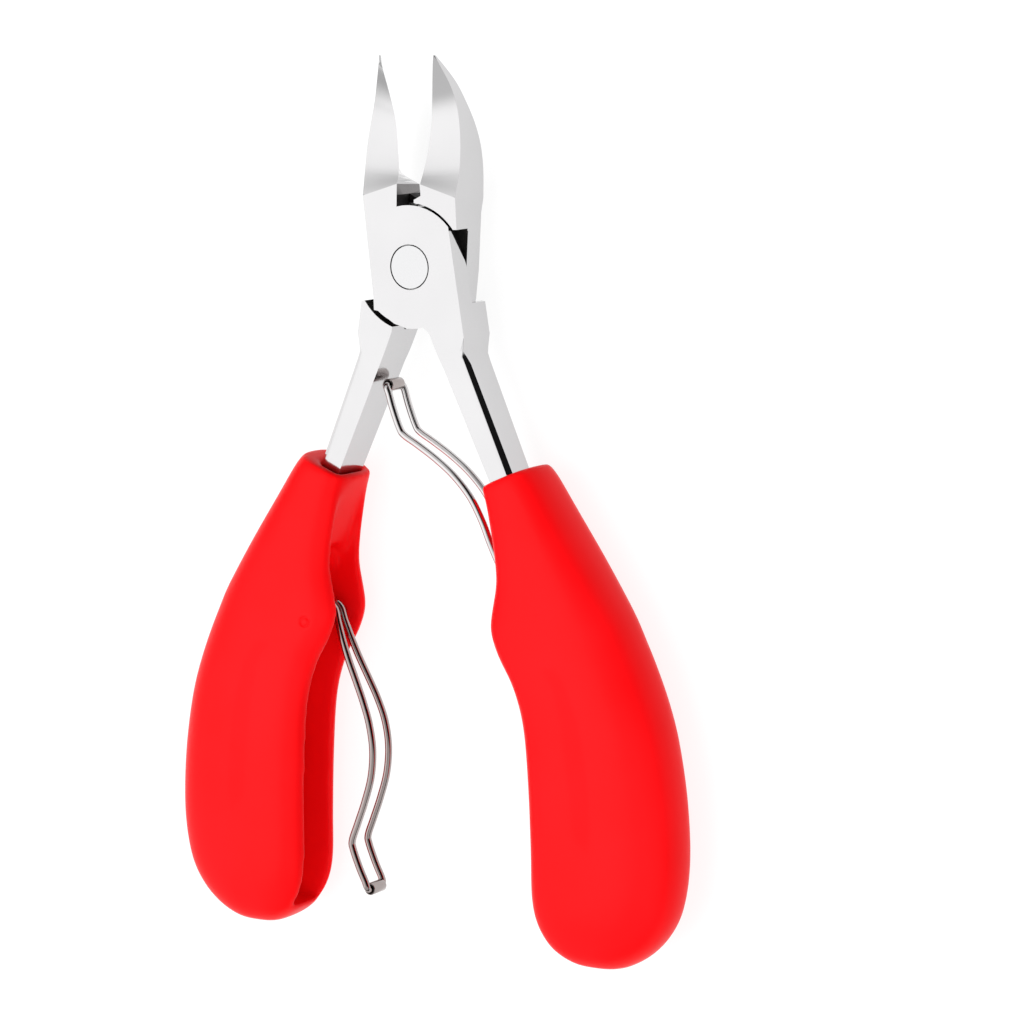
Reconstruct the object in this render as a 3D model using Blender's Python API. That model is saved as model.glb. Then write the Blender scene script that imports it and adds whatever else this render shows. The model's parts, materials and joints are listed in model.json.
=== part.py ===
"""Plier-type nail clipper: two forged levers on a flush rivet, red grips with a
folding channel, and a hairpin bow spring on a pin in each grip.

It lies on its back: X is left and right, Y runs from the grips to the jaw tips,
Z is up and the front of the clipper faces up. Dimensions below are millimetres
measured from the centre of the pivot; MM turns them into metres. Shapes are drawn
for the right-hand side and mirrored for the left.
"""
import math

import bmesh
import bpy
from mathutils import Matrix, Vector

MM = 0.001
GAP = 0.3                  # clearance between separate pieces

# Levers
HALF_THICKNESS = 3.5       # each lever is this far either side of the middle plane
LAP_RADIUS = 8.65          # round end of each lap plate
SEAT_RADIUS = 9.0          # hollow in the other lever that clears the round end
RIVET_RADIUS = 3.2
TANG_LENGTH = 13.0         # steel hidden inside each grip
SHANK_ANGLE = math.radians(24.6)

# Grips
GRIP_DEPTH = 6.8           # half of the grip's thickness
GRIP_END = 97.4            # from the pivot to the bottom of the grips
CHANNEL_HALF_WIDTH = 3.2
CHANNEL_TOP = -44.0        # the channel ends in a half circle above this
TIP_Y = 29.4               # from the pivot to the jaw tips

# Springs
PIN = (16.7, -50.9)        # pin that the spring turns on
ROLLER_SEAT = (-5.1, -17.0)    # where the right spring bears on the left shank
PIN_RADIUS = 1.0
PIN_HALF_LENGTH = 4.7
WIRE_RADIUS = 0.525
LEG_OFFSET = 2.1           # each leg is this far from the middle plane
SPRING_CHORD = math.dist(PIN, ROLLER_SEAT)
ROLLER_RADIUS = 0.9
ROLLER_BORE = 0.7
ROLLER_LENGTH = 3.2
RIGHT_CHORD_ANGLE = math.atan2(ROLLER_SEAT[1] - PIN[1], ROLLER_SEAT[0] - PIN[0])
LEFT_CHORD_ANGLE = math.radians(-79.5)     # the left spring hangs almost straight down
# Each bow: distance along the chord, bulge off it, share of the full leg offset
RIGHT_BOW = [(34.2, -1.2, 1.0), (33.0, -1.3, 1.0), (30.6, 0.0, 1.0), (27.5, 1.5, 1.0),
             (24.0, 2.8, 1.0), (20.2, 3.5, 1.0), (16.5, 3.3, 0.96), (13.2, 2.6, 0.84),
             (10.0, 2.0, 0.66), (7.0, 1.75, 0.54), (4.0, 1.8, 0.46), (1.2, 1.85, 0.4)]
LEFT_BOW = [(34.2, -1.2, 1.0), (33.0, -1.3, 1.0), (30.6, 0.2, 1.0), (27.5, 2.1, 1.0),
            (24.0, 3.9, 1.0), (20.2, 4.95, 1.0), (16.5, 5.1, 0.98), (13.2, 4.6, 0.9),
            (10.0, 3.8, 0.78), (7.0, 3.0, 0.66), (4.0, 2.35, 0.54), (1.2, 1.9, 0.42)]

PIVOT = Vector((0.0, (GRIP_END - TIP_Y) / 2.0 * MM, GRIP_DEPTH * MM))

STEEL = ("polished_steel", (0.78, 0.78, 0.79, 1.0), 0.16, 1.0)
SPRING_STEEL = ("spring_steel", (0.70, 0.70, 0.71, 1.0), 0.12, 1.0)
RED_GRIP = ("red_soft_grip", (0.90, 0.012, 0.020, 1.0), 0.45, 0.0)


def clear_scene():
    for item in list(bpy.data.objects):
        bpy.data.objects.remove(item, do_unlink=True)
    for name in ("nail_clipper", "cutters"):
        bpy.context.scene.collection.children.link(bpy.data.collections.new(name))


def make_material(name, colour, roughness, metallic):
    made = bpy.data.materials.get(name)
    if made is None:
        made = bpy.data.materials.new(name)
        made.use_nodes = True
        shader = made.node_tree.nodes["Principled BSDF"]
        shader.inputs["Base Color"].default_value = colour
        shader.inputs["Roughness"].default_value = roughness
        shader.inputs["Metallic"].default_value = metallic
    return made


def add_object(name, mesh, finish=None, location=(0.0, 0.0, 0.0), parent=None):
    """Put a mesh in the model, or in the cutters when it has no finish."""
    made = bpy.data.objects.new(name, mesh)
    made.location = Vector(location)
    made.parent = parent
    if finish is None:
        bpy.data.collections["cutters"].objects.link(made)
        made.hide_render = True
        made.display_type = "WIRE"
    else:
        bpy.data.collections["nail_clipper"].objects.link(made)
        mesh.materials.append(make_material(*finish))
    return made


def add_empty(name, location):
    made = bpy.data.objects.new(name, None)
    made.location = Vector(location)
    bpy.data.collections["nail_clipper"].objects.link(made)
    return made


def mesh_from(bm, name):
    bmesh.ops.recalc_face_normals(bm, faces=bm.faces)
    mesh = bpy.data.meshes.new(name)
    bm.to_mesh(mesh)
    bm.free()
    return mesh


def curve_to_mesh(curve_object, name):
    """Turn a curve object into a closed mesh and remove the curve."""
    graph = bpy.context.evaluated_depsgraph_get()
    mesh = bpy.data.meshes.new_from_object(curve_object.evaluated_get(graph))
    bpy.data.objects.remove(curve_object, do_unlink=True)
    bm = bmesh.new()
    bm.from_mesh(mesh)
    bmesh.ops.remove_doubles(bm, verts=bm.verts, dist=1e-6)
    return mesh_from(bm, name)


def prism(name, outline, low, high):
    """Flat outline in millimetres, extruded from one height to another."""
    curve = bpy.data.curves.new(name, "CURVE")
    curve.dimensions = "2D"
    curve.fill_mode = "BOTH"
    curve.extrude = (high - low) / 2.0 * MM
    spline = curve.splines.new("POLY")
    spline.points.add(len(outline) - 1)
    for point, (x, y) in zip(spline.points, outline):
        point.co = (x * MM, y * MM, 0.0, 1.0)
    spline.use_cyclic_u = True
    made = bpy.data.objects.new(name, curve)
    bpy.context.scene.collection.objects.link(made)
    bpy.context.view_layer.update()
    mesh = curve_to_mesh(made, name)
    for vertex in mesh.vertices:
        vertex.co.z += (high + low) / 2.0 * MM
    return mesh


def loft(name, rings):
    """Closed skin through rings of matching points, for sections that differ."""
    bm = bmesh.new()
    loops = [[bm.verts.new(Vector(point) * MM) for point in ring] for ring in rings]
    count = len(rings[0])
    for lower, upper in zip(loops, loops[1:]):
        for i in range(count):
            j = (i + 1) % count
            bm.faces.new((lower[i], lower[j], upper[j], upper[i]))
    bm.faces.new(loops[0])
    bm.faces.new(loops[-1])
    return mesh_from(bm, name)


def rod(name, radius, length, centre, segments=24):
    """Cylinder along Z, centred on a point in millimetres."""
    bm = bmesh.new()
    bmesh.ops.create_cone(bm, cap_ends=True, segments=segments, radius1=radius * MM,
                          radius2=radius * MM, depth=length * MM)
    bmesh.ops.translate(bm, verts=bm.verts, vec=Vector(centre) * MM)
    return mesh_from(bm, name)


def combine(target, tool, operation):
    modifier = target.modifiers.new(tool.name, "BOOLEAN")
    modifier.operation = operation
    modifier.solver = "EXACT"
    modifier.object = tool


def mirrored(points, side):
    return [(point[0] * side, *point[1:]) for point in points]


def arc(radius, start, end, steps):
    """Points round the pivot, angles in degrees, both ends included."""
    made = []
    for i in range(steps + 1):
        angle = math.radians(start + (end - start) * i / steps)
        made.append((radius * math.cos(angle), radius * math.sin(angle)))
    return made


def smooth_route(points, steps):
    """Points on a smooth curve that passes through every given point."""
    padded = [2 * points[0] - points[1]] + points + [2 * points[-1] - points[-2]]
    made = []
    for a, b, c, d in zip(padded, padded[1:], padded[2:], padded[3:]):
        for i in range(steps):
            t = i / steps
            made.append(0.5 * (2 * b + (c - a) * t + (2 * a - 5 * b + 4 * c - d) * t ** 2
                               + (3 * b - a - 3 * c + d) * t ** 3))
    return made + [points[-1]]


def shade(item, angle=30.0):
    item.data.shade_smooth()
    item.data.set_sharp_from_angle(angle=math.radians(angle))


# ---------------------------------------------------------------- levers

def plate_outline(plate_in_front):
    """Lap plate of the lever whose jaw is on the left and whose shank is on the right.

    The back plate is a little wider along its outer side.
    """
    if plate_in_front:
        outline = [(-7.6, 9.5), (-6.05, -4.6), (-6.0, -6.2)]
    else:
        outline = [(-7.7, 9.5), (-7.1, -0.5), (-6.6, -4.6), (-6.3, -6.2)]
    outline += arc(LAP_RADIUS - 0.4, -130.0, -115.0, 3) + arc(LAP_RADIUS - 0.2, -108.0, -101.0, 1)
    outline += arc(LAP_RADIUS, -94.0, -76.0, 3)
    outline += [(3.3, -9.3), (5.0, -12.0), (8.3, -11.4), (8.8, -9.5)]
    outline += arc(LAP_RADIUS, 42.0, 104.0, 9)
    outline += [(-2.1, 9.6)]
    return outline


def jaw_rings(plate_in_front):
    """Sections of the right jaw: cutting edge, outer ridge, outer back, inner back.

    The block under the jaw is narrower on the side where it runs into the lap plate.
    """
    block_front, block_back = (7.1, 7.9) if plate_in_front else (7.8, 7.2)
    edge = [(2.1, 5.4, 3.5), (1.92, 11.59, 3.5), (2.0, 13.0, 2.85), (2.31, 15.0, 2.4),
            (2.6, 17.5, 2.05), (2.95, 20.3, 1.95), (3.35, 23.0, 2.35), (3.76, 25.5, 2.9),
            (4.1, 27.5, 3.35), (4.36, TIP_Y, 3.6)]
    ridge = [(block_front, 5.4, 3.5), (7.62, 9.85, 3.5), (7.77, 13.0, 2.66), (7.77, 15.0, 2.3),
             (7.62, 17.5, 1.95), (7.25, 20.3, 1.6), (6.7, 23.0, 1.5), (6.0, 25.5, 2.0),
             (5.25, 27.5, 2.75), (4.56, TIP_Y, 3.5)]
    outer = [(block_back, 5.4, -3.5), (7.95, 9.5, -3.5), (8.0, 12.5, -3.5), (7.95, 14.8, -3.4),
             (7.75, 17.3, -3.1), (7.4, 20.1, -2.25), (6.85, 22.9, -1.0), (6.1, 25.4, 0.1),
             (5.35, 27.4, 1.5), (4.56, TIP_Y, 3.25)]
    inner = [(2.1, 5.4, -3.5), (2.6, 11.2, -3.5), (5.6, 12.8, -3.5), (5.9, 14.8, -3.4),
             (6.05, 17.3, -3.1), (5.95, 20.1, -2.25), (5.7, 22.9, -1.0), (5.5, 25.4, 0.1),
             (5.15, 27.4, 1.5), (4.44, TIP_Y, 3.25)]
    lines = []
    for line in (edge, ridge, outer, inner):
        points = [Vector(point) for point in line]
        lines.append(points[:1] + smooth_route(points[1:], 3))
    return list(zip(*lines))


def shank_rings():
    """Sections of the right shank and tang, with its outer corners rounded."""
    along = Vector((math.sin(SHANK_ANGLE), -math.cos(SHANK_ANGLE)))
    collar_inner = Vector((12.6, -29.75))
    collar_outer = Vector((15.95, -28.2))
    stations = [((2.4, -4.2), (8.1, -5.0), 3.5, 0.05), ((3.1, -9.2), (8.8, -9.5), 3.5, 0.05),
                ((4.05, -11.4), (8.6, -11.4), 3.45, 0.1), ((4.6, -12.6), (8.95, -12.2), 3.4, 0.9),
                ((5.35, -14.1), (9.5, -13.2), 3.3, 1.2),
                (collar_inner, collar_outer, 3.1, 1.35)]
    stations += [(collar_inner + along * 1.5, collar_outer + along * 1.5 - Vector((0.4, 0.2)), 2.7, 1.0),
                 (collar_inner + along * TANG_LENGTH, collar_outer + along * TANG_LENGTH
                  - Vector((0.8, 0.4)), 2.4, 0.9)]
    rings = []
    for inner, outer, depth, chamfer in stations:
        inner = Vector(inner)
        outer = Vector(outer)
        across = (outer - inner).normalized()
        corner = []
        for inset, drop in ((1.0, 0.0), (0.577, 0.094), (0.094, 0.577), (0.0, 1.0)):
            corner.append((*(outer - across * chamfer * inset), depth - chamfer * drop))
        rings.append([(*inner, depth)] + corner + [(x, y, -z) for x, y, z in reversed(corner)]
                     + [(*inner, -depth)])
    return rings


# Lip of the jaw block that follows the round end of the other lever's plate, right jaw.
SEAT_TONGUE = [(3.1, 10.55), (2.4, 10.2), (0.85, 9.4), (0.85, 8.3), (3.1, 8.0)]


def lap_corner_rings():
    """Wedge off the plate's corner beside the jaw block, deepest at the middle plane."""
    front = Vector((6.45, 5.8, HALF_THICKNESS))
    corner = Vector((5.25, 5.8, 0.0))
    foot = Vector((7.38, -0.1, 0.0))
    up = front - corner
    down = foot - corner
    face = [corner - 0.4 * up - 0.5 * down, corner + 1.4 * up - 0.5 * down,
            corner + 1.4 * up + 1.1 * down, corner - 0.4 * up + 1.1 * down]
    return [face, [point + Vector((6.0, 0.0, 0.0)) for point in face]]


def make_lever(name, jaw_side, parent):
    """One forged lever. jaw_side -1 has its jaw on the left and its plate in front."""
    front = -jaw_side
    low, high = sorted((0.0, front * HALF_THICKNESS))
    plate = prism(name + "_plate", mirrored(plate_outline(front == 1), front), low, high)
    lever = add_object(name, plate, STEEL, parent=parent)
    turned = [[(x * front, y, z * front) for x, y, z in ring] for ring in lap_corner_rings()]
    corner = add_object(name + "_lap_corner", loft(name + "_lap_corner", turned), parent=parent)
    combine(lever, corner, "DIFFERENCE")
    jaw = loft(name + "_jaw", [mirrored(ring, jaw_side) for ring in jaw_rings(front == 1)])
    combine(lever, add_object(name + "_jaw", jaw, parent=parent), "UNION")
    shank = loft(name + "_shank", [mirrored(ring, -jaw_side) for ring in shank_rings()])
    combine(lever, add_object(name + "_shank", shank, parent=parent), "UNION")
    low, high = sorted((-front * 0.1, -front * HALF_THICKNESS))
    tongue = prism(name + "_tongue", mirrored(SEAT_TONGUE, jaw_side), low, high)
    combine(lever, add_object(name + "_tongue", tongue, parent=parent), "UNION")
    relief_height = HALF_THICKNESS + 2.0 + GAP / 2.0
    relief_centre = front * (GAP / 2.0 - relief_height / 2.0)
    relief = rod(name + "_relief", SEAT_RADIUS, relief_height, (0, 0, relief_centre), 64)
    combine(lever, add_object(name + "_relief", relief, parent=parent), "DIFFERENCE")
    return lever


def make_levers(pivot):
    front = make_lever("front_lever", -1, pivot)
    back = make_lever("back_lever", 1, pivot)
    hole = rod("rivet_hole", RIVET_RADIUS, 12.0, (0, 0, 0), 32)
    hole = add_object("rivet_hole", hole, parent=pivot)
    combine(front, hole, "DIFFERENCE")
    combine(back, hole, "DIFFERENCE")
    seat = rod("roller_seat", ROLLER_RADIUS + GAP + 0.1, 5.5, (*ROLLER_SEAT, 0), 24)
    combine(back, add_object("roller_seat", seat, parent=pivot), "DIFFERENCE")
    rivet = rod("pivot_rivet", RIVET_RADIUS - 0.15, 2 * HALF_THICKNESS, (0, 0, 0), 32)
    rivet = add_object("pivot_rivet", rivet, STEEL, parent=pivot)
    for item in (front, back, rivet):
        shade(item)


# ---------------------------------------------------------------- grips

def grip_stations():
    """Inner point, outer point and half thickness down the right grip."""
    return [((11.0, -30.4), (19.0, -27.0), 5.2), ((11.6, -31.9), (20.6, -28.8), 5.45),
            ((12.3, -35.0), (23.7, -33.4), 5.75), ((13.2, -39.5), (27.7, -39.3), 6.15),
            ((13.6, -43.5), (30.7, -43.9), 6.4), ((13.0, -47.3), (33.2, -47.9), 6.6),
            ((12.7, -50.3), (34.8, -51.1), 6.7), ((13.9, -53.7), (36.5, -54.8), GRIP_DEPTH),
            ((16.3, -58.0), (38.4, -59.7), GRIP_DEPTH), ((17.9, -63.5), (39.9, -65.0), GRIP_DEPTH),
            ((18.6, -72.0), (41.2, -73.0), GRIP_DEPTH), ((18.9, -81.0), (41.6, -81.5), 6.75),
            ((19.0, -88.0), (40.7, -88.0), 6.55), ((19.9, -92.0), (38.9, -92.0), 5.9),
            ((21.8, -95.0), (36.2, -95.0), 4.7), ((24.8, -96.9), (33.0, -96.9), 3.1),
            ((27.4, -GRIP_END), (30.4, -GRIP_END), 1.4)]


def oval(inner, outer, depth, count=20, inner_power=4.0, outer_power=2.4):
    """Section that spans two points in plan: square-shouldered inside, round outside."""
    middle = (Vector(inner) + Vector(outer)) / 2.0
    half = (Vector(outer) - Vector(inner)) / 2.0
    ring = []
    for i in range(count):
        angle = 2.0 * math.pi * i / count
        power = outer_power if math.cos(angle) > 0.0 else inner_power
        across = math.copysign(abs(math.cos(angle)) ** (2.0 / power), math.cos(angle))
        height = math.copysign(abs(math.sin(angle)) ** (2.0 / power), math.sin(angle))
        ring.append((*(middle + half * across), depth * height))
    return ring


def channel_outline():
    """Plan of the channel that the right spring folds into, open on the inner side."""
    floor = [(17.4, CHANNEL_TOP), (19.4, -46.4), (21.0, -49.6), (23.0, -53.7), (26.0, -59.0),
             (28.6, -65.0), (29.8, -73.0), (30.2, -82.0), (29.9, -88.3), (28.0, -92.2),
             (24.0, -93.8), (18.0, -94.2)]
    return floor + [(8.0, -94.4), (8.0, CHANNEL_TOP)]


# Soft hollow on the inner side of the grip, above the round top of the channel.
SADDLE_CENTRE = (11.9, -41.5, 0.0)
SADDLE_RADII = (3.5, 8.5, 4.3)
SLOT_CHAMFER = 0.95


def saddle_mesh(name, side):
    bm = bmesh.new()
    bmesh.ops.create_uvsphere(bm, u_segments=24, v_segments=16, radius=MM)
    bmesh.ops.scale(bm, vec=SADDLE_RADII, verts=bm.verts)
    x, y, z = SADDLE_CENTRE
    bmesh.ops.translate(bm, verts=bm.verts, vec=Vector((x * side, y, z)) * MM)
    return mesh_from(bm, name)


def tang_slot_rings():
    """Sections of the slot round the shank and tang, a little larger than both."""
    along = Vector((math.sin(SHANK_ANGLE), -math.cos(SHANK_ANGLE)))
    across = Vector((math.cos(SHANK_ANGLE), math.sin(SHANK_ANGLE)))
    collar = Vector((12.6, -29.75))
    rings = []
    for distance, width, half in ((-4.0, 4.4, 3.6), (1.2, 4.4, 3.6), (2.2, 3.9, 3.2),
                                  (TANG_LENGTH + GAP, 3.6, 2.9)):
        near = collar + along * distance - across * GAP
        far = near + across * width
        bend = far - across * SLOT_CHAMFER
        low = half - SLOT_CHAMFER
        rings.append([(*near, half), (*bend, half), (*far, low),
                      (*far, -low), (*bend, -half), (*near, -half)])
    return rings


def make_grip(name, side, parent):
    """Moulded grip: rounded body, channel for the spring, slot for the tang, pin hole."""
    body = loft(name, [mirrored(oval(*station), side) for station in grip_stations()])
    grip = add_object(name, body, RED_GRIP, parent=parent)
    channel = prism(name + "_channel", mirrored(channel_outline(), side),
                    -CHANNEL_HALF_WIDTH, CHANNEL_HALF_WIDTH)
    slot = loft(name + "_tang_slot", [mirrored(ring, side) for ring in tang_slot_rings()])
    end = rod(name + "_channel_end", CHANNEL_HALF_WIDTH, 9.2, (0, 0, 0), 24)
    end.transform(Matrix.Rotation(math.pi / 2.0, 4, "Y"))
    end.transform(Matrix.Translation(Vector((12.6 * side, CHANNEL_TOP, 0.0)) * MM))
    hole = rod(name + "_pin_hole", PIN_RADIUS + 0.2, 2.0 * PIN_HALF_LENGTH + 2.0 * GAP,
               (PIN[0] * side, PIN[1], 0), 16)
    saddle = saddle_mesh(name + "_saddle", side)
    tools = {"channel": channel, "channel_end": end, "tang_slot": slot, "pin_hole": hole,
             "saddle": saddle}
    for tool_name, mesh in tools.items():
        combine(grip, add_object(name + "_" + tool_name, mesh, parent=parent), "DIFFERENCE")
    shade(grip, 40.0)


# ---------------------------------------------------------------- springs

def chord_point(side, angle, along, bulge):
    """Point beside a spring's chord; bulge is measured to the spring's bowed side."""
    direction = Vector((math.cos(angle), math.sin(angle)))
    outward = Vector((direction.y, -direction.x)) * side
    return Vector((PIN[0] * side, PIN[1])) + direction * along + outward * bulge


def spring_leg(bow):
    """One leg from the roller's bore to the loop: along the chord, bulge, offset."""
    loop_radius = PIN_RADIUS + WIRE_RADIUS + GAP
    bore_end = 0.45
    leg = [Vector((SPRING_CHORD, 0.0, bore_end)), Vector((SPRING_CHORD, 0.0, LEG_OFFSET - 0.35)),
           Vector((SPRING_CHORD - 0.12, -0.03, LEG_OFFSET - 0.1)),
           Vector((SPRING_CHORD - 0.45, -0.1, LEG_OFFSET))]
    leg += smooth_route([Vector((s, p, LEG_OFFSET * w)) for s, p, w in bow], 3)
    for degrees in (115.0, 145.0, 175.0, 205.0):
        angle = math.radians(degrees)
        leg.append(Vector((loop_radius * math.cos(angle), loop_radius * math.sin(angle),
                           LEG_OFFSET * 0.36)))
    angle = math.radians(225.0)
    leg.append(Vector((loop_radius * math.cos(angle), loop_radius * math.sin(angle), 0.35)))
    return leg


def make_spring(side_name, side, angle, bow, pin_axis):
    """Hairpin wire with its roller; both are drawn round the pin."""
    leg = spring_leg(bow)
    route = leg + [Vector((point.x, point.y, -point.z)) for point in reversed(leg)]
    name = side_name + "_spring_wire"
    curve = bpy.data.curves.new(name, "CURVE")
    curve.dimensions = "3D"
    curve.bevel_depth = WIRE_RADIUS * MM
    curve.bevel_resolution = 2
    curve.use_fill_caps = True
    spline = curve.splines.new("POLY")
    spline.points.add(len(route) - 1)
    pin = Vector((PIN[0] * side, PIN[1]))
    for point, place in zip(spline.points, route):
        flat = chord_point(side, angle, place.x, place.y) - pin
        point.co = (flat.x * MM, flat.y * MM, place.z * MM, 1.0)
    curve_object = bpy.data.objects.new(name, curve)
    bpy.context.scene.collection.objects.link(curve_object)
    bpy.context.view_layer.update()
    wire = add_object(name, curve_to_mesh(curve_object, name), SPRING_STEEL, parent=pin_axis)
    flat = chord_point(side, angle, SPRING_CHORD, 0.0) - pin
    name = side_name + "_spring_roller"
    roller = rod(name, ROLLER_RADIUS, ROLLER_LENGTH, (0, 0, 0), 24)
    roller = add_object(name, roller, SPRING_STEEL, (flat.x * MM, flat.y * MM, 0.0), pin_axis)
    bore = rod(name + "_bore", ROLLER_BORE, 2.0 * ROLLER_LENGTH, (0, 0, 0), 24)
    combine(roller, add_object(name + "_bore", bore, parent=roller), "DIFFERENCE")
    name = side_name + "_spring_pin"
    pin = add_object(name, rod(name, PIN_RADIUS, 2.0 * PIN_HALF_LENGTH, (0, 0, 0), 20),
                     SPRING_STEEL, parent=pin_axis)
    for item in (wire, roller, pin):
        shade(item, 50.0)


def main():
    clear_scene()
    pivot = add_empty("pivot_axis", PIVOT)
    make_levers(pivot)
    for side_name, side, angle, bow in (("left", -1, LEFT_CHORD_ANGLE, LEFT_BOW),
                                        ("right", 1, RIGHT_CHORD_ANGLE, RIGHT_BOW)):
        make_grip(side_name + "_grip", side, pivot)
        pin = Vector((PIN[0] * side * MM, PIN[1] * MM, 0.0))
        make_spring(side_name, side, angle, bow, add_empty(side_name + "_pin_axis", PIVOT + pin))


main()
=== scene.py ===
"""Looks for the nail clipper: polished steel levers, soft red grips, bright bow springs."""
import json
import math

import bmesh
import bpy
from mathutils import Matrix, Vector


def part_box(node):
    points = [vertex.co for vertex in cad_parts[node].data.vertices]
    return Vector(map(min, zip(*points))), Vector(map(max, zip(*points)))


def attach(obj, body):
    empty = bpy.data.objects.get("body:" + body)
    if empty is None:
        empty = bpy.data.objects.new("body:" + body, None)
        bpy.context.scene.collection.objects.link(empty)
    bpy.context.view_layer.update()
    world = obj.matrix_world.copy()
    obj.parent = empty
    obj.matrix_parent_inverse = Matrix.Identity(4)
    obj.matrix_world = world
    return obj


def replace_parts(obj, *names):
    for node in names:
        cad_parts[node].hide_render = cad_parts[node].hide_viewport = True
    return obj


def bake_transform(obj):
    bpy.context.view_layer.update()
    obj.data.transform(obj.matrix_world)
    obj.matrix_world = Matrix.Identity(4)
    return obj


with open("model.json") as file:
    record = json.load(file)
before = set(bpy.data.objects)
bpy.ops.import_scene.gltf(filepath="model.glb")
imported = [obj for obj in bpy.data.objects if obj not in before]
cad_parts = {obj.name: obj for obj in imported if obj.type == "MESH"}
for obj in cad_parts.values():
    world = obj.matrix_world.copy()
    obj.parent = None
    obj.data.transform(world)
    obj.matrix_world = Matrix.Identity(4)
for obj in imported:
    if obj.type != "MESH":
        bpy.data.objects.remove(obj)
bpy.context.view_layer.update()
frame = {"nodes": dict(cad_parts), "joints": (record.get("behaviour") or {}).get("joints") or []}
NODES = frame["nodes"]
JOINTS = {joint["name"]: joint for joint in frame["joints"]}
PIVOT = Vector(JOINTS["handles_close"]["pos_m"])
MM = 0.001


def at(x, y, z=0.0):
    """Row-frame place of a point given in millimetres from the pivot."""
    return PIVOT + Vector((x, y, z)) * MM


# ------------------------------------------------------------ node helpers

class Nodes:
    """Short-hand for building a node tree from nothing."""

    def __init__(self, tree):
        self.tree = tree
        tree.nodes.clear()

    def add(self, kind, inputs=None, **settings):
        node = self.tree.nodes.new(kind)
        for key, value in settings.items():
            setattr(node, key, value)
        for key, value in (inputs or {}).items():
            if isinstance(value, bpy.types.NodeSocket):
                self.tree.links.new(value, node.inputs[key])
            else:
                node.inputs[key].default_value = value
        return node

    def link(self, source, target):
        self.tree.links.new(source, target)

    def math(self, operation, a, b):
        return self.add("ShaderNodeMath", {0: a, 1: b}, operation=operation).outputs[0]

    def place(self, scale=(1.0, 1.0, 1.0), turn=(0.0, 0.0, 0.0)):
        """Place on the object, stretched and turned."""
        coord = self.add("ShaderNodeTexCoord")
        mapping = self.add("ShaderNodeMapping", {"Vector": coord.outputs["Object"],
                                                 "Scale": scale, "Rotation": turn})
        return mapping.outputs["Vector"]

    def noise(self, vector, scale, detail=4.0, roughness=0.55):
        return self.add("ShaderNodeTexNoise", {"Vector": vector, "Scale": scale, "Detail": detail,
                                               "Roughness": roughness}).outputs["Fac"]

    def between(self, value, low, high, start=0.3, end=0.7):
        """A noise value spread from low to high; noise mostly lies between start and end."""
        made = self.add("ShaderNodeMapRange", {"Value": value, "From Min": start, "From Max": end,
                                               "To Min": low, "To Max": high})
        return made.outputs["Result"]

    def mix(self, factor, first, second):
        made = self.add("ShaderNodeMix", data_type="RGBA")
        for socket, value in ((made.inputs[0], factor), (made.inputs[6], first),
                              (made.inputs[7], second)):
            if isinstance(value, bpy.types.NodeSocket):
                self.tree.links.new(value, socket)
            else:
                socket.default_value = value
        return made.outputs[2]

    def show(self, shader, output="ShaderNodeOutputMaterial"):
        self.link(shader.outputs[0], self.add(output).inputs["Surface"])


def new_material(name):
    """An empty material and the short-hand for its node tree."""
    made = bpy.data.materials.new(name)
    made.use_nodes = True
    return made, Nodes(made.node_tree)


def steel_material(name, light, dark, smooth, rough, grain):
    """Polished steel: slow tone drift, hairline polishing marks and tiny pits."""
    made, n = new_material(name)
    drift = n.noise(n.place(), 90.0, 3.0)
    lines = n.noise(n.place((9.0, 0.5, 9.0), (0.0, 0.0, 0.35)), 900.0, 5.0, 0.6)
    pits = n.noise(n.place(), 5200.0, 2.0)
    colour = n.mix(n.between(drift, 0.0, 1.0), dark, light)
    marks = n.between(lines, -0.03, 0.05)
    level = n.math("ADD", n.between(drift, smooth, rough), marks)
    height = n.math("ADD", n.math("MULTIPLY", lines, 0.75), n.math("MULTIPLY", pits, 0.25))
    bump = n.add("ShaderNodeBump", {"Strength": grain, "Distance": 0.00004, "Height": height})
    shader = n.add("ShaderNodeBsdfPrincipled", {"Base Color": colour, "Metallic": 1.0,
                                                "Roughness": level, "Normal": bump.outputs[0]})
    n.show(shader)
    return made


def scale_and_shade_material(name):
    """Dark oily scale inside the joint, partly painted shade: it darkens the faces deep between the
    overlapping parts, where shade falls.
    """
    made, n = new_material(name)
    spots = n.noise(n.place(), 700.0, 4.0)
    colour = n.mix(n.between(spots, 0.0, 1.0), (0.004, 0.004, 0.004, 1.0), (0.014, 0.012, 0.011, 1.0))
    shader = n.add("ShaderNodeBsdfPrincipled", {"Base Color": colour,
                                                "Roughness": n.between(spots, 0.45, 0.7)})
    shader.inputs["Specular IOR Level"].default_value = 0.2
    n.show(shader)
    return made


def rubber_material(name):
    """Soft red moulding: satin skin with a very fine matt grain and slight tone drift."""
    made, n = new_material(name)
    drift = n.noise(n.place(), 60.0, 2.0)
    grain = n.noise(n.place(), 3600.0, 3.0, 0.6)
    orange_peel = n.noise(n.place(), 900.0, 2.0)
    colour = n.mix(n.between(drift, 0.0, 1.0), (0.90, 0.003, 0.005, 1.0), (0.96, 0.005, 0.008, 1.0))
    level = n.math("ADD", n.between(drift, 0.34, 0.40), n.between(grain, -0.03, 0.03))
    height = n.math("ADD", n.math("MULTIPLY", grain, 0.4), n.math("MULTIPLY", orange_peel, 0.6))
    bump = n.add("ShaderNodeBump", {"Strength": 0.16, "Distance": 0.00006, "Height": height})
    shader = n.add("ShaderNodeBsdfPrincipled", {"Base Color": colour, "Roughness": level,
                                                "Normal": bump.outputs[0]})
    shader.inputs["Specular IOR Level"].default_value = 0.065
    n.show(shader)
    return made


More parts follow.
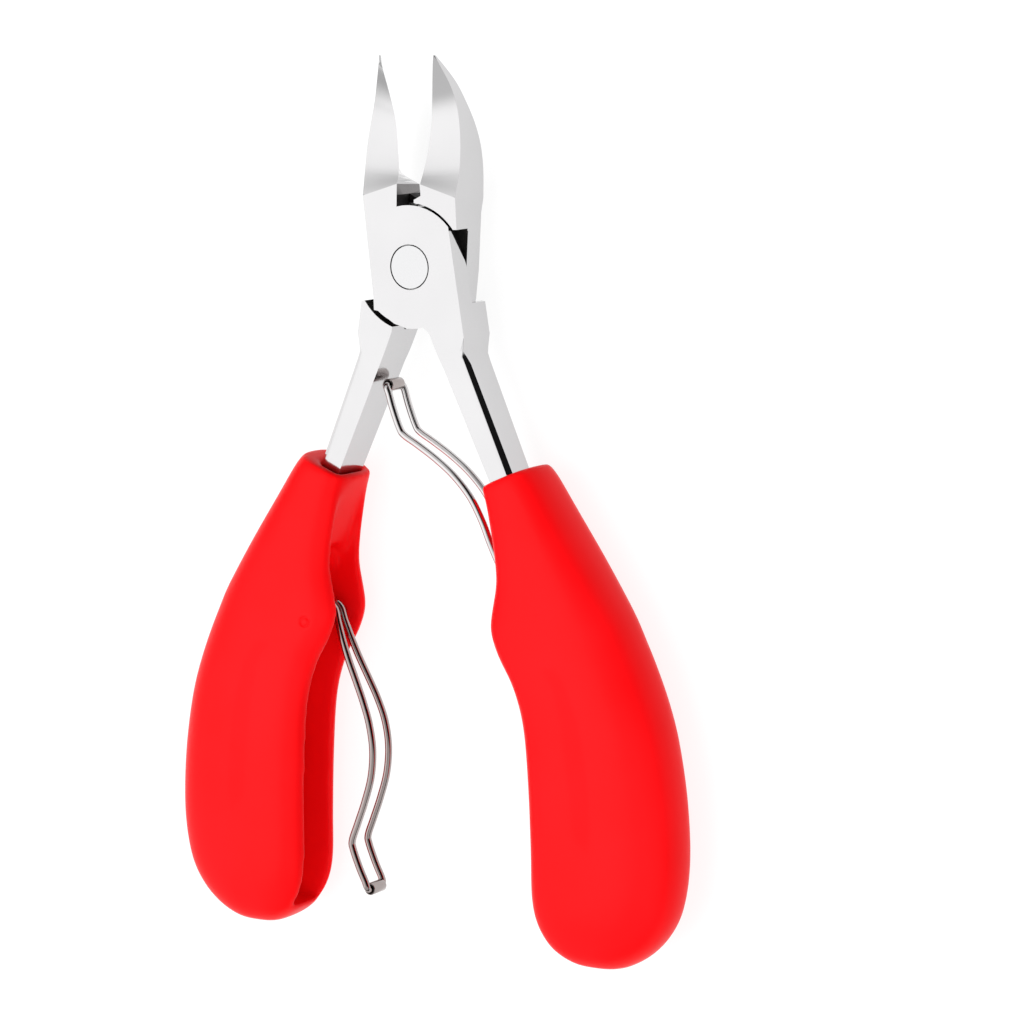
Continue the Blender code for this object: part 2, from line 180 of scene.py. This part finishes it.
STEEL = steel_material("forged_steel_polished", (0.61, 0.605, 0.61, 1.0), (0.59, 0.585, 0.59, 1.0),
                       0.08, 0.12, 0.06)
RIVET_STEEL = steel_material("rivet_steel_polished", (0.61, 0.61, 0.615, 1.0),
                             (0.60, 0.60, 0.605, 1.0), 0.08, 0.11, 0.05)
WIRE_STEEL = steel_material("spring_wire_bright", (0.66, 0.64, 0.64, 1.0), (0.58, 0.56, 0.56, 1.0),
                            0.02, 0.05, 0.05)
# Painted shade: the left spring is the same wire as the right, coloured darker and browner to stand
# in for the dark reflections it shows.
SHADED_WIRE_STEEL = steel_material("spring_wire_painted_shade", (0.43, 0.37, 0.36, 1.0), (0.34, 0.29, 0.28, 1.0),
                             0.02, 0.06, 0.05)
SLEEVE_STEEL = steel_material("spring_sleeve_steel", (0.44, 0.39, 0.38, 1.0),
                              (0.34, 0.30, 0.29, 1.0), 0.06, 0.12, 0.08)
DULL_STEEL = steel_material("joint_dull_steel", (0.30, 0.29, 0.29, 1.0), (0.20, 0.19, 0.19, 1.0),
                            0.25, 0.35, 0.15)
RUBBER = rubber_material("red_soft_moulding")
# Painted shade: dark scale that partly stands in for the shade between the overlapping parts of the
# joint.
JOINT_SCALE_AND_SHADE = scale_and_shade_material("joint_scale_and_painted_shade")


# ------------------------------------------------------------ mesh helpers

def add_piece(name, mesh, material):
    """A new object in the scene, of one material."""
    made = bpy.data.objects.new(name, mesh)
    bpy.context.scene.collection.objects.link(made)
    mesh.materials.clear()
    mesh.materials.append(material)
    return made


def evaluated_mesh(item):
    """The item's mesh with its modifiers applied; the item itself is removed."""
    bpy.context.view_layer.update()
    graph = bpy.context.evaluated_depsgraph_get()
    mesh = bpy.data.meshes.new_from_object(item.evaluated_get(graph))
    bpy.data.objects.remove(item, do_unlink=True)
    return mesh


def from_bmesh(bm, name):
    """The finished mesh, with its faces pointing out."""
    bmesh.ops.recalc_face_normals(bm, faces=bm.faces)
    mesh = bpy.data.meshes.new(name)
    bm.to_mesh(mesh)
    bm.free()
    return mesh


def loft(name, rings):
    """Closed skin through rings of matching points, given in millimetres from the pivot."""
    bm = bmesh.new()
    loops = [[bm.verts.new(at(*point)) for point in ring] for ring in rings]
    count = len(rings[0])
    for lower, upper in zip(loops, loops[1:]):
        for i in range(count):
            j = (i + 1) % count
            bm.faces.new((lower[i], lower[j], upper[j], upper[i]))
    bm.faces.new(loops[0])
    bm.faces.new(loops[-1])
    return from_bmesh(bm, name)


def smooth_rows(rows, steps):
    """Rows of numbers on a smooth curve that passes through every given row."""
    rows = [tuple(row) for row in rows]
    first = tuple(2 * p - q for p, q in zip(rows[0], rows[1]))
    last = tuple(2 * p - q for p, q in zip(rows[-1], rows[-2]))
    padded = [first] + rows + [last]
    made = []
    for a, b, c, d in zip(padded, padded[1:], padded[2:], padded[3:]):
        for i in range(steps):
            t = i / steps
            made.append(tuple(0.5 * (2 * q + (r - p) * t + (2 * p - 5 * q + 4 * r - s) * t ** 2
                                     + (3 * q - p - 3 * r + s) * t ** 3)
                              for p, q, r, s in zip(a, b, c, d)))
    return made + [rows[-1]]


# ------------------------------------------------------------ levers and rivet
# Lengths from here on are in millimetres, and places are from the pivot.

# The grind line's ends, as seen from the front on either side, and the z that it lies above.
GRIND_LINE = (Vector((7.62, 9.85)), Vector((1.92, 11.59)))
GRIND_LINE_ABOVE = 3.3
SHARP_ANGLE = math.radians(40.0)
BEVEL_ANGLE = math.radians(26.0)
LEVER_EDGE = 0.09
RIVET_EDGE = 0.06

# Where polishing doesn't reach and shade falls between the parts, faces get dark scale that is partly
# painted shade:
# the notch between the jaws, the lap and the round seat of each joint plate. FOOT is the lowest y of
# each.
NOTCH_HALF = 2.6
NOTCH_FOOT = 5.0
NOTCH_SHADE_TOP = 10.05
NOTCH_TOP = 11.3
LAP_HALF = 0.25
LAP_FOOT = -13.0
SEAT_RADII = (8.85, 9.15)
SEAT_FOOT = -9.5


def keep_grind_line(mesh):
    """The line where the flat front ends and the hollow grind of each jaw begins stays crisp."""
    start, end = GRIND_LINE
    along = (end - start).normalized()
    sharp = mesh.attributes.get("sharp_edge") or mesh.attributes.new("sharp_edge", "BOOLEAN", "EDGE")

    def on_line(index):
        place = (mesh.vertices[index].co - PIVOT) / MM
        offset = Vector((abs(place.x), place.y)) - start
        return place.z > GRIND_LINE_ABOVE and abs(offset.cross(along)) < 0.03

    for edge in mesh.edges:
        if on_line(edge.vertices[0]) and on_line(edge.vertices[1]):
            sharp.data[edge.index].value = True


def flat_shaded(mesh, name, material):
    """Keep broad faces flat and let only the softened edges turn the light."""
    mesh.shade_smooth()
    mesh.set_sharp_from_angle(angle=SHARP_ANGLE)
    keep_grind_line(mesh)
    made = add_piece(name, mesh, material)
    weighted = made.modifiers.new("flat_faces", "WEIGHTED_NORMAL")
    weighted.keep_sharp = True
    weighted.weight = 90
    return add_piece(name, evaluated_mesh(made), material)


def crisp_steel(name, node, material, width, split_at=None):
    """The CAD solid with its corners softened, as forging and polishing leave them.

    Faces that cross y = split_at are divided there, so that each half can have a finish of its
    own.
    """
    bm = bmesh.new()
    bm.from_mesh(NODES[node].data)
    bmesh.ops.remove_doubles(bm, verts=bm.verts, dist=2e-6)
    bmesh.ops.dissolve_limit(bm, angle_limit=math.radians(0.5), verts=bm.verts, edges=bm.edges)
    if split_at is not None:
        bmesh.ops.bisect_plane(bm, geom=bm.verts[:] + bm.edges[:] + bm.faces[:],
                               plane_co=at(0.0, split_at), plane_no=(0.0, 1.0, 0.0))
    made = add_piece(name, from_bmesh(bm, name), material)
    bevel = made.modifiers.new("softened_edges", "BEVEL")
    bevel.width = width * MM
    bevel.segments = 2
    bevel.limit_method = "ANGLE"
    bevel.angle_limit = BEVEL_ANGLE
    bevel.miter_outer = "MITER_ARC"
    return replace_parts(flat_shaded(evaluated_mesh(made), name, material), node)


def darken_joint(item):
    """Joint faces get dark scale that is partly painted shade, as polishing can't reach in and shade
    falls between the overlapping parts; the top of the notch between the jaws is dull steel."""
    item.data.materials.append(JOINT_SCALE_AND_SHADE)
    item.data.materials.append(DULL_STEEL)
    for face in item.data.polygons:
        place = (face.center - PIVOT) / MM
        reach = math.hypot(place.x, place.y)
        outward = Vector((place.x, place.y, 0.0)).normalized()
        lap = abs(face.normal.z) > 0.9 and abs(place.z) < LAP_HALF and place.y > LAP_FOOT
        seat = (SEAT_RADII[0] < reach < SEAT_RADII[1] and face.normal.dot(outward) < -0.8
                and place.y > SEAT_FOOT)
        notch = (abs(place.x) < NOTCH_HALF and NOTCH_FOOT < place.y < NOTCH_TOP
                 and abs(face.normal.x) > 0.3)
        # Painted shade: the lap, the round seats and the lower notch take the dark scale-and-shade
        # material.
        if lap or seat or (notch and place.y < NOTCH_SHADE_TOP):
            face.material_index = 1
        elif notch:
            face.material_index = 2


front_lever = crisp_steel("front_lever_forging", "front_lever", STEEL, LEVER_EDGE, NOTCH_SHADE_TOP)
back_lever = crisp_steel("back_lever_forging", "back_lever", STEEL, LEVER_EDGE, NOTCH_SHADE_TOP)
rivet = crisp_steel("pivot_rivet_head", "pivot_rivet", RIVET_STEEL, RIVET_EDGE)
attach(front_lever, "front_handle")
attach(back_lever, "back_handle")
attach(rivet, "back_handle")
for piece in (front_lever, back_lever):
    darken_joint(piece)


# ------------------------------------------------------------ grips

# Sections of the right grip from its collar down: inner x and y, outer x and y, half thickness.
GRIP_ROWS = [(11.0, -30.4, 19.0, -27.0, 5.2), (11.6, -31.9, 20.6, -28.8, 5.45),
             (12.3, -35.0, 23.7, -33.4, 5.75), (13.2, -39.5, 27.7, -39.3, 6.15),
             (13.6, -43.5, 30.7, -43.9, 6.4), (13.0, -47.3, 33.2, -47.9, 6.6),
             (12.7, -50.3, 34.8, -51.1, 6.7), (13.9, -53.7, 36.5, -54.8, 6.8),
             (16.3, -58.0, 38.4, -59.7, 6.8), (17.9, -63.5, 39.9, -65.0, 6.8),
             (18.6, -72.0, 41.2, -73.0, 6.8), (18.9, -81.0, 41.6, -81.5, 6.75),
             (19.0, -88.0, 40.7, -88.0, 6.55), (19.9, -92.0, 38.9, -92.0, 5.9),
             (21.8, -95.0, 36.2, -95.0, 4.7), (24.8, -96.9, 33.0, -96.9, 3.1),
             (27.4, -97.4, 30.4, -97.4, 1.4)]
OUTER_POWER = 2.4
COLLAR_POWER = 3.2
CHANNEL_POWER_RISE = 0.8
POWER_RISE_START = -34.0
POWER_RISE_LENGTH = 14.0

# Floor of the channel that the spring folds into, from its upper end down.
CHANNEL_FLOOR = [(17.4, -44.0), (19.4, -46.4), (21.0, -49.6), (23.0, -53.7), (26.0, -59.0),
                 (28.6, -65.0), (29.8, -73.0), (30.2, -82.0), (29.9, -88.3), (28.0, -92.2),
                 (24.0, -93.8), (18.0, -94.2)]
CHANNEL_TOP = -44.0
CHANNEL_HALF = 3.2
CHANNEL_FOOT = -94.4
CHANNEL_END_DEPTH = 17.2

# Valley above the channel: depth along x, height y, half width.
VALLEY_ROWS = [(11.3, -30.9, 3.2), (13.0, -34.3, 3.4), (14.4, -38.0, 3.4), (15.7, -41.5, 3.3),
               (17.0, -45.0, 3.2)]
CLEAR_OF_GRIP = 6.0

# Opening round the shank: distance down from the collar, side margin, half thickness.
TANG_ROWS = [(-4.0, 0.2, 3.3), (0.6, 0.2, 3.3), (3.0, 0.2, 3.0), (13.3, 0.3, 2.8)]
TANG_CORNER = 1.15
SHANK_WIDTH = 3.7
SHANK_ANGLE = math.radians(24.6)
SHANK_AT_COLLAR = Vector((12.6, -29.75))

PIN_MARK = (16.8, -51.2)


def grip_section(row, count=72):
    """Section of the right grip: round outside, square-shouldered inside, more so lower down."""
    rise = min(max((POWER_RISE_START - row[1]) / POWER_RISE_LENGTH, 0.0), 1.0)
    inner_power = COLLAR_POWER + CHANNEL_POWER_RISE * rise
    middle = Vector((row[0] + row[2], row[1] + row[3])) / 2.0
    half = Vector((row[2] - row[0], row[3] - row[1])) / 2.0
    ring = []
    for i in range(count):
        angle = 2.0 * math.pi * i / count
        power = OUTER_POWER if math.cos(angle) > 0.0 else inner_power
        across = math.copysign(abs(math.cos(angle)) ** (2.0 / power), math.cos(angle))
        height = math.copysign(abs(math.sin(angle)) ** (2.0 / power), math.sin(angle))
        ring.append((*(middle + half * across), row[4] * height))
    return ring


def tang_opening():
    """Sections of the opening round the shank, flared at its mouth, its outer corners cut off."""
    along = Vector((math.sin(SHANK_ANGLE), -math.cos(SHANK_ANGLE)))
    across = Vector((math.cos(SHANK_ANGLE), math.sin(SHANK_ANGLE)))
    rings = []
    for distance, margin, half in TANG_ROWS:
        near = SHANK_AT_COLLAR + along * distance - across * margin
        far = near + across * (SHANK_WIDTH + 2.0 * margin)
        bend = far - across * TANG_CORNER
        rings.append([(*near, half), (*bend, half), (*far, half - TANG_CORNER),
                      (*far, TANG_CORNER - half), (*bend, -half), (*near, -half)])
    return rings


def channel_cutter():
    """Straight-sided channel that opens on the inner side of the grip."""
    floor = smooth_rows(CHANNEL_FLOOR, 4)
    outline = floor + [(CLEAR_OF_GRIP, CHANNEL_FOOT), (CLEAR_OF_GRIP, CHANNEL_TOP)]
    return loft("channel", [[(x, y, z) for x, y in outline] for z in (-CHANNEL_HALF, CHANNEL_HALF)])


def channel_end_cutter():
    """Round upper end of the channel."""
    ring = [(math.cos(math.pi * i / 16) * CHANNEL_HALF, math.sin(math.pi * i / 16) * CHANNEL_HALF)
            for i in range(32)]
    return loft("channel_end", [[(x, CHANNEL_TOP + a, b) for a, b in ring]
                                for x in (CLEAR_OF_GRIP, CHANNEL_END_DEPTH)])


def saddle_cutter():
    """Soft valley on the inner side of the grip that leads down into the channel."""
    return loft("saddle", [[(CLEAR_OF_GRIP, y, half), (x, y, half), (x, y, -half),
                            (CLEAR_OF_GRIP, y, -half)]
                           for x, y, half in smooth_rows(VALLEY_ROWS, 4)])


def cut(target, mesh):
    """Cuts the mesh out of the target, and returns the cutter to be removed later."""
    tool = add_piece(mesh.name, mesh, RUBBER)
    modifier = target.modifiers.new(mesh.name, "BOOLEAN")
    modifier.operation = "DIFFERENCE"
    modifier.solver = "EXACT"
    modifier.object = tool
    return tool


def grip_mesh():
    """Right grip: rounded body with its channel and tang opening, every edge soft."""
    rows = smooth_rows(GRIP_ROWS, 4)
    body = add_piece("grip_body", loft("grip_body", [grip_section(row) for row in rows]), RUBBER)
    tools = [cut(body, mesh) for mesh in (channel_cutter(), channel_end_cutter(), saddle_cutter(),
                                          loft("tang_opening", tang_opening()))]
    remesh = body.modifiers.new("even_skin", "REMESH")
    remesh.mode = "VOXEL"
    remesh.voxel_size = 0.27 * MM
    smooth = body.modifiers.new("soft_edges", "SMOOTH")
    smooth.factor = 0.5
    smooth.iterations = 48
    mesh = evaluated_mesh(body)
    for tool in tools:
        bpy.data.objects.remove(tool, do_unlink=True)
    return mesh


def add_pin_dimple(mesh, x, y, facing):
    """Small ring mark where the spring pin was pressed in from one face of the grip."""
    centre = at(x, y)
    outer_side = 4.0 * MM
    bm = bmesh.new()
    bm.from_mesh(mesh)
    near = [e for e in bm.edges if all((v.co - centre).xy.length < 1.7 * MM
                                       and (v.co.z - centre.z) * facing > outer_side
                                       for v in e.verts)]
    bmesh.ops.subdivide_edges(bm, edges=near, cuts=3, use_grid_fill=True)
    for vertex in bm.verts:
        reach = (vertex.co - centre).xy.length / MM
        if reach < 1.5 and (vertex.co.z - centre.z) * facing > outer_side:
            groove = 0.16 * math.exp(-((reach - 0.62) / 0.16) ** 2)
            pool = 0.07 * math.exp(-(reach / 0.95) ** 4)
            vertex.co.z -= facing * (groove + pool) * MM
    bm.to_mesh(mesh)
    bm.free()


right_mesh = grip_mesh()
left_mesh = right_mesh.copy()
left_mesh.transform(Matrix.Scale(-1.0, 4, Vector((1.0, 0.0, 0.0))))
left_mesh.flip_normals()
add_pin_dimple(left_mesh, -PIN_MARK[0], PIN_MARK[1], 1.0)
add_pin_dimple(right_mesh, PIN_MARK[0], PIN_MARK[1], -1.0)
for mesh, side, body in ((left_mesh, "left", "back_handle"), (right_mesh, "right", "front_handle")):
    mesh.shade_smooth()
    grip = add_piece(side + "_grip_moulding", mesh, RUBBER)
    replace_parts(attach(grip, body), side + "_grip")


# ------------------------------------------------------------ springs

PIN = Vector((16.7, -50.9))
SEAT = Vector((-5.1, -17.0))
CHORD = (SEAT - PIN).length
LEG_OFFSET = 2.1
WIRE_RADIUS = 0.525
CORNER_RADIUS = 0.62
LOOP_RADIUS = 1.83

# Bow of each wire, from the roller end to the pin: along the chord, bulge, share of LEG_OFFSET.
RIGHT_BOW = [(30.6, 0.0, 1.0), (27.5, 1.5, 1.0), (24.0, 2.8, 1.0), (20.2, 3.5, 1.0),
             (16.5, 3.3, 0.96), (13.2, 2.6, 0.84), (10.0, 2.0, 0.66), (7.0, 1.75, 0.54),
             (4.0, 1.8, 0.46), (1.2, 1.85, 0.4)]
LEFT_BOW = [(30.6, 0.2, 1.0), (27.5, 2.1, 1.0), (24.0, 3.9, 1.0), (20.2, 4.95, 1.0),
            (16.5, 5.1, 0.98), (13.2, 4.6, 0.9), (10.0, 3.8, 0.78), (7.0, 3.0, 0.66),
            (4.0, 2.35, 0.54), (1.2, 1.9, 0.42)]


def spring_leg(bow):
    """One leg from the roller's bore to the loop round the pin: along, bulge, offset."""
    bend = CORNER_RADIUS
    leg = [(CHORD, 0.0, 0.3), (CHORD, 0.0, LEG_OFFSET - bend)]
    for i in range(1, 7):
        turn = math.pi / 2.0 * i / 6
        leg.append((CHORD - bend + bend * math.cos(turn), -0.06 * i / 6,
                    LEG_OFFSET - bend + bend * math.sin(turn)))
    foot = [(CHORD - 1.2, -0.16, 1.0), (37.0, -0.75, 1.0), (34.2, -1.3, 1.0), (32.9, -1.2, 1.0)]
    leg += smooth_rows([(s, p, LEG_OFFSET * share) for s, p, share in foot + bow], 8)
    for step in range(12):
        turn = math.radians(100.0 + 12.0 * step)
        leg.append((LOOP_RADIUS * math.cos(turn), LOOP_RADIUS * math.sin(turn),
                    LEG_OFFSET * 0.38 - 0.03 * step))
    return leg


def wire_mesh(name, side, pin, chord_end, bow):
    """Round spring wire drawn from roller to pin and back on the other side."""
    direction = (chord_end - pin).normalized()
    outward = Vector((direction.y, -direction.x, 0.0)) * side
    leg = spring_leg(bow)
    route = leg + [(s, p, -z) for s, p, z in reversed(leg)]
    curve = bpy.data.curves.new(name, "CURVE")
    curve.dimensions = "3D"
    curve.bevel_depth = WIRE_RADIUS * MM
    curve.bevel_resolution = 6
    curve.use_fill_caps = True
    spline = curve.splines.new("POLY")
    spline.points.add(len(route) - 1)
    for point, (s, p, z) in zip(spline.points, route):
        place = pin + (direction * s + outward * p) * MM + Vector((0.0, 0.0, z * MM))
        point.co = (*place, 1.0)
    item = bpy.data.objects.new(name, curve)
    bpy.context.scene.collection.objects.link(item)
    mesh = evaluated_mesh(item)
    mesh.shade_smooth()
    return mesh


def roller_mesh(name, centre):
    """Thin steel tube with rounded ends, open right through for the wire ends."""
    profile = [(0.70, 1.45), (0.74, 1.57), (0.80, 1.60), (0.86, 1.57), (0.90, 1.48)]
    profile += [(r, -z) for r, z in reversed(profile)]
    bm = bmesh.new()
    count = 40
    rings = []
    for i in range(count):
        turn = 2.0 * math.pi * i / count
        rings.append([bm.verts.new(centre + Vector((math.cos(turn) * r, math.sin(turn) * r, z)) * MM)
                      for r, z in profile])
    for i in range(count):
        first, second = rings[i], rings[(i + 1) % count]
        for j in range(len(profile)):
            k = (j + 1) % len(profile)
            bm.faces.new((first[j], first[k], second[k], second[j]))
    mesh = from_bmesh(bm, name)
    mesh.shade_smooth()
    mesh.set_sharp_from_angle(angle=math.radians(50.0))
    return mesh


def middle(node):
    """Centre of a CAD node's box."""
    low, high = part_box(node)
    return (low + high) / 2.0


right_pin = Vector(JOINTS["right_spring_follow"]["pos_m"])
left_pin = Vector(JOINTS["left_spring_swing"]["pos_m"])
right_end = middle("right_spring_roller")
left_end = middle("left_spring_roller")
right_wire = wire_mesh("right_bow_spring", 1.0, right_pin, right_end, RIGHT_BOW)
right_wire = add_piece("right_bow_spring", right_wire, WIRE_STEEL)
# The left wire takes the painted-shade copy of the wire steel.
left_wire = wire_mesh("left_bow_spring", -1.0, left_pin, left_end, LEFT_BOW)
left_wire = add_piece("left_bow_spring", left_wire, SHADED_WIRE_STEEL)
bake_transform(right_wire)
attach(left_wire, "left_spring")
for side, wire, end in (("right", right_wire, right_end), ("left", left_wire, left_end)):
    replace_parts(wire, side + "_spring_wire")
    name = side + "_spring_sleeve"
    sleeve = add_piece(name, roller_mesh(name, end), SLEEVE_STEEL)
    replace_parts(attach(sleeve, side + "_roller"), side + "_spring_roller")
    NODES[side + "_spring_pin"].data.materials.clear()
    NODES[side + "_spring_pin"].data.materials.append(WIRE_STEEL)


# ------------------------------------------------------------ floor, light, camera

def build_floor():
    """Plain pale floor. Most of its brightness is its own glow, so shadows on it stay faint."""
    bm = bmesh.new()
    bmesh.ops.create_grid(bm, x_segments=1, y_segments=1, size=1.2)
    floor_mat, n = new_material("pale_floor")
    shader = n.add("ShaderNodeBsdfPrincipled", {"Base Color": (0.18, 0.18, 0.18, 1.0),
                                                "Roughness": 0.9, "Emission Strength": 0.86})
    shader.inputs["Emission Color"].default_value = (1.0, 1.0, 1.0, 1.0)
    shader.inputs["Specular IOR Level"].default_value = 0.1
    n.show(shader)
    floor = add_piece("floor", from_bmesh(bm, "floor"), floor_mat)
    floor.location.z = -0.0004


def build_world():
    """Soft white studio, dark near the horizon.

    The brightest patch is overhead to the left and a second one is low on the left. A dark flag
    on the right, toward the jaws, gives the steel its dark bands.
    """
    world = bpy.data.worlds.new("studio")
    world.use_nodes = True
    bpy.context.scene.world = world
    n = Nodes(world.node_tree)
    coord = n.add("ShaderNodeTexCoord")

    def lobe(direction, inner, outer, strength):
        """Patch of light about a direction: full within the inner angle, gone past the outer."""
        aim = Vector(direction).normalized()
        dot = n.add("ShaderNodeVectorMath", {0: coord.outputs["Generated"], 1: tuple(aim)},
                    operation="DOT_PRODUCT").outputs["Value"]
        ranged = n.add("ShaderNodeMapRange",
                       {"Value": dot, "From Min": math.cos(math.radians(outer)),
                        "From Max": math.cos(math.radians(inner)), "To Min": 0.0,
                        "To Max": strength}, interpolation_type="SMOOTHSTEP")
        return ranged.outputs["Result"]

    rise = n.add("ShaderNodeSeparateXYZ", {"Vector": coord.outputs["Generated"]}).outputs["Z"]
    sky = n.add("ShaderNodeMapRange", {"Value": rise, "From Min": 0.14, "From Max": 0.52,
                                       "To Min": 0.04, "To Max": 0.80},
                interpolation_type="SMOOTHSTEP").outputs["Result"]
    level = n.math("ADD", sky, lobe((-0.51, -0.07, 0.85), 8.0, 38.0, 0.68))
    level = n.math("ADD", level, lobe((-0.86, -0.48, 0.12), 14.0, 36.0, 0.60))
    flag = n.math("SUBTRACT", 1.0, lobe((0.74, 0.43, 0.50), 26.0, 46.0, 0.985))
    level = n.math("MULTIPLY", level, flag)
    back = n.add("ShaderNodeBackground", {"Color": (1.0, 1.0, 1.0, 1.0), "Strength": level})
    n.show(back, "ShaderNodeOutputWorld")


def add_light(name, direction, distance, size, energy):
    """Soft light that brightens matt surfaces; the steel mirrors the studio instead."""
    data = bpy.data.lights.new(name, "AREA")
    data.shape = "SQUARE"
    data.size = size
    data.energy = energy
    light = bpy.data.objects.new(name, data)
    bpy.context.scene.collection.objects.link(light)
    aim = Vector(direction).normalized()
    light.location = PIVOT + aim * distance
    light.visible_glossy = False
    light.rotation_mode = "QUATERNION"
    light.rotation_quaternion = aim.to_track_quat("Z", "Y")


def add_camera():
    """Camera over the clipper's front, to its right and a little toward the jaws."""
    turn, rise, roll = math.radians(31.0), math.radians(8.0), math.radians(-0.49)
    aside, upward, distance = 12.54, -34.64, 530.5
    back = Vector((math.sin(turn) * math.cos(rise), math.sin(rise), math.cos(turn) * math.cos(rise)))
    right = Vector((math.cos(turn), 0.0, -math.sin(turn)))
    up = back.cross(right)
    right, up = (right * math.cos(roll) + up * math.sin(roll),
                 up * math.cos(roll) - right * math.sin(roll))
    data = bpy.data.cameras.new("camera")
    data.sensor_width = 36.0
    data.lens = 132.73
    data.clip_start = 0.01
    data.clip_end = 20.0
    camera = bpy.data.objects.new("camera", data)
    bpy.context.scene.collection.objects.link(camera)
    place = PIVOT + (right * aside + up * upward + back * distance) * MM
    camera.matrix_world = Matrix.Translation(place) @ Matrix((right, up, back)).transposed().to_4x4()
    bpy.context.scene.camera = camera


build_floor()
build_world()
add_light("key", (-0.3, -0.1, 0.9), 1.0, 0.9, 7.0)
add_light("fill", (0.7, -0.2, 0.7), 1.1, 0.9, 5.0)
add_camera()
bpy.context.scene.view_settings.view_transform = "Standard"
